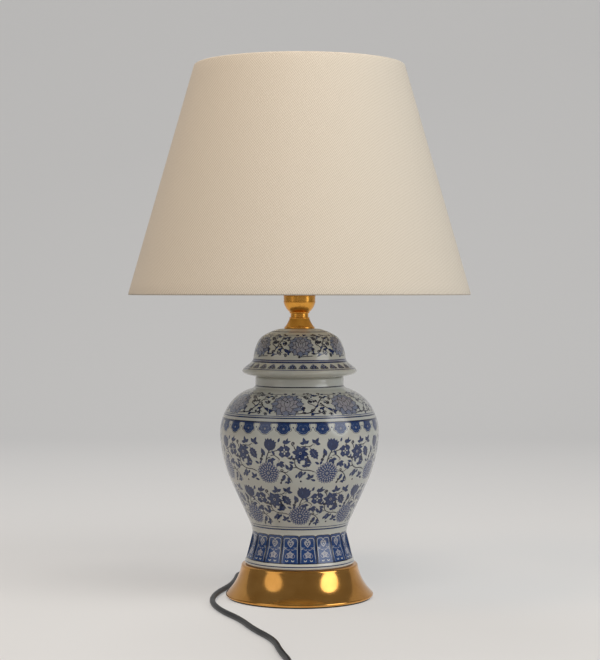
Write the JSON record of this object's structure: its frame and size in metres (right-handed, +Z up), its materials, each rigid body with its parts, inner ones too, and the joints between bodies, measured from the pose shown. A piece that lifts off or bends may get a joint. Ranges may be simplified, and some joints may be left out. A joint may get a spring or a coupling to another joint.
{
  "type": "table lamp",
  "caption": "Table lamp: lidded porcelain ginger jar with blue painting on a spun brass foot, wired through a rod, with lampholder, harp and tapered fabric shade.",
  "frame": {"origin": "centre of the felt foot on the table, below the jar's axis", "axes": "+Z up along the jar's axis, front of the lamp towards -Y, cord leaves the foot towards +Y"},
  "size_m": [0.4064, 0.7355, 0.6427],
  "materials": {
    "felt": "matte felt",
    "spun_brass": "polished and lacquered",
    "turned_brass": "satin lacquered",
    "steel": "zinc plated",
    "porcelain_jar": "clear gloss glaze over blue painting",
    "porcelain_lid": "clear gloss glaze over blue painting",
    "harp_brass": "plated wire",
    "holder_brass": "pressed sheet, bright",
    "card": "varnished card",
    "moulding": "black moulding",
    "thread_alloy": "pressed thread",
    "lead_sheath": "insulated wire",
    "bulb_plastic": "white moulding",
    "globe": "frosted",
    "board": "white coated",
    "shade_cloth": "fine twill, ivory",
    "shade_card": "stiff white lining",
    "wire": "white painted wire",
    "finial_brass": "polished",
    "cord_sheath": "black round sheath",
    "plug_rubber": "black moulding",
    "blade_brass": "bare blade"
  },
  "bodies": {
    "stand": {"felt_pad": "felt", "metal_base": "spun_brass", "base_washer": "steel", "base_nut": "steel", "threaded_rod": "steel", "jar": "porcelain_jar", "lid": "porcelain_lid", "neck": "turned_brass", "harp_saddle": "harp_brass", "socket_cap": "holder_brass", "cap_screw": "steel", "socket_shell": "holder_brass", "shell_liner": "card", "socket_core": "moulding", "socket_thread": "thread_alloy", "socket_contact": "holder_brass", "terminal_screws": "holder_brass", "lead_wires": "lead_sheath", "strain_relief": "plug_rubber", "inner_cord": "cord_sheath", "free_cord": "cord_sheath", "cord_coil": "cord_sheath", "plug_relief": "plug_rubber", "plug_body": "plug_rubber", "plug_blades": "blade_brass"},
    "switch": {"switch_shaft": "holder_brass", "switch_knob": "moulding"},
    "bulb_tip": {"bulb_contact": "thread_alloy"},
    "bulb": {"bulb_insulator": "moulding", "bulb_cap": "thread_alloy", "bulb_body": "bulb_plastic", "light_board": "board", "bulb_globe": "globe"},
    "harp": {"harp": "harp_brass"},
    "ferrule_left": {"ferrule_left": "harp_brass"},
    "ferrule_right": {"ferrule_right": "harp_brass"},
    "shade": {"shade_fabric": "shade_cloth", "shade_lining": "shade_card", "shade_ring_bottom": "wire", "shade_ring_top": "wire", "shade_spider": "wire"},
    "finial_insert": {"finial_insert": "finial_brass"},
    "finial": {"finial_knob": "finial_brass"}
  },
  "joints": [
    {"name": "switch_turn", "type": "hinge", "parent": "stand", "child": "switch", "pos_m": [0, -0.02, 0.38862], "axis": [0, -1, 0], "continuous": true},
    {"name": "bulb_rise", "type": "slide", "parent": "stand", "child": "bulb_tip", "axis": [0, 0, 1], "range_m": [0, 0.0182]},
    {"name": "bulb_turn", "type": "hinge", "parent": "bulb_tip", "child": "bulb", "pos_m": [0, 0, 0.42], "axis": [0, 0, 1], "range_deg": [0, 1800]},
    {"name": "harp_lift", "type": "slide", "parent": "stand", "child": "harp", "axis": [0, 0, 1], "range_m": [0, 0.02]},
    {"name": "ferrule_left_slide", "type": "slide", "parent": "harp", "child": "ferrule_left", "axis": [0, 0, 1], "range_m": [0, 0.012]},
    {"name": "ferrule_right_slide", "type": "slide", "parent": "harp", "child": "ferrule_right", "axis": [0, 0, 1], "range_m": [0, 0.012]},
    {"name": "shade_turn", "type": "hinge", "parent": "harp", "child": "shade", "pos_m": [0, 0, 0.61], "axis": [0, 0, 1], "continuous": true},
    {"name": "finial_rise", "type": "slide", "parent": "harp", "child": "finial_insert", "axis": [0, 0, 1], "range_m": [0, 0.0066]},
    {"name": "finial_turn", "type": "hinge", "parent": "finial_insert", "child": "finial", "pos_m": [0, 0, 0.62], "axis": [0, 0, 1], "range_deg": [0, 2520]}
  ],
  "couplings": [
    {"joint": "bulb_rise", "follows": "bulb_turn", "m_per_rad": 0.00057751},
    {"joint": "finial_rise", "follows": "finial_turn", "m_per_rad": 0.00014972}
  ]
}
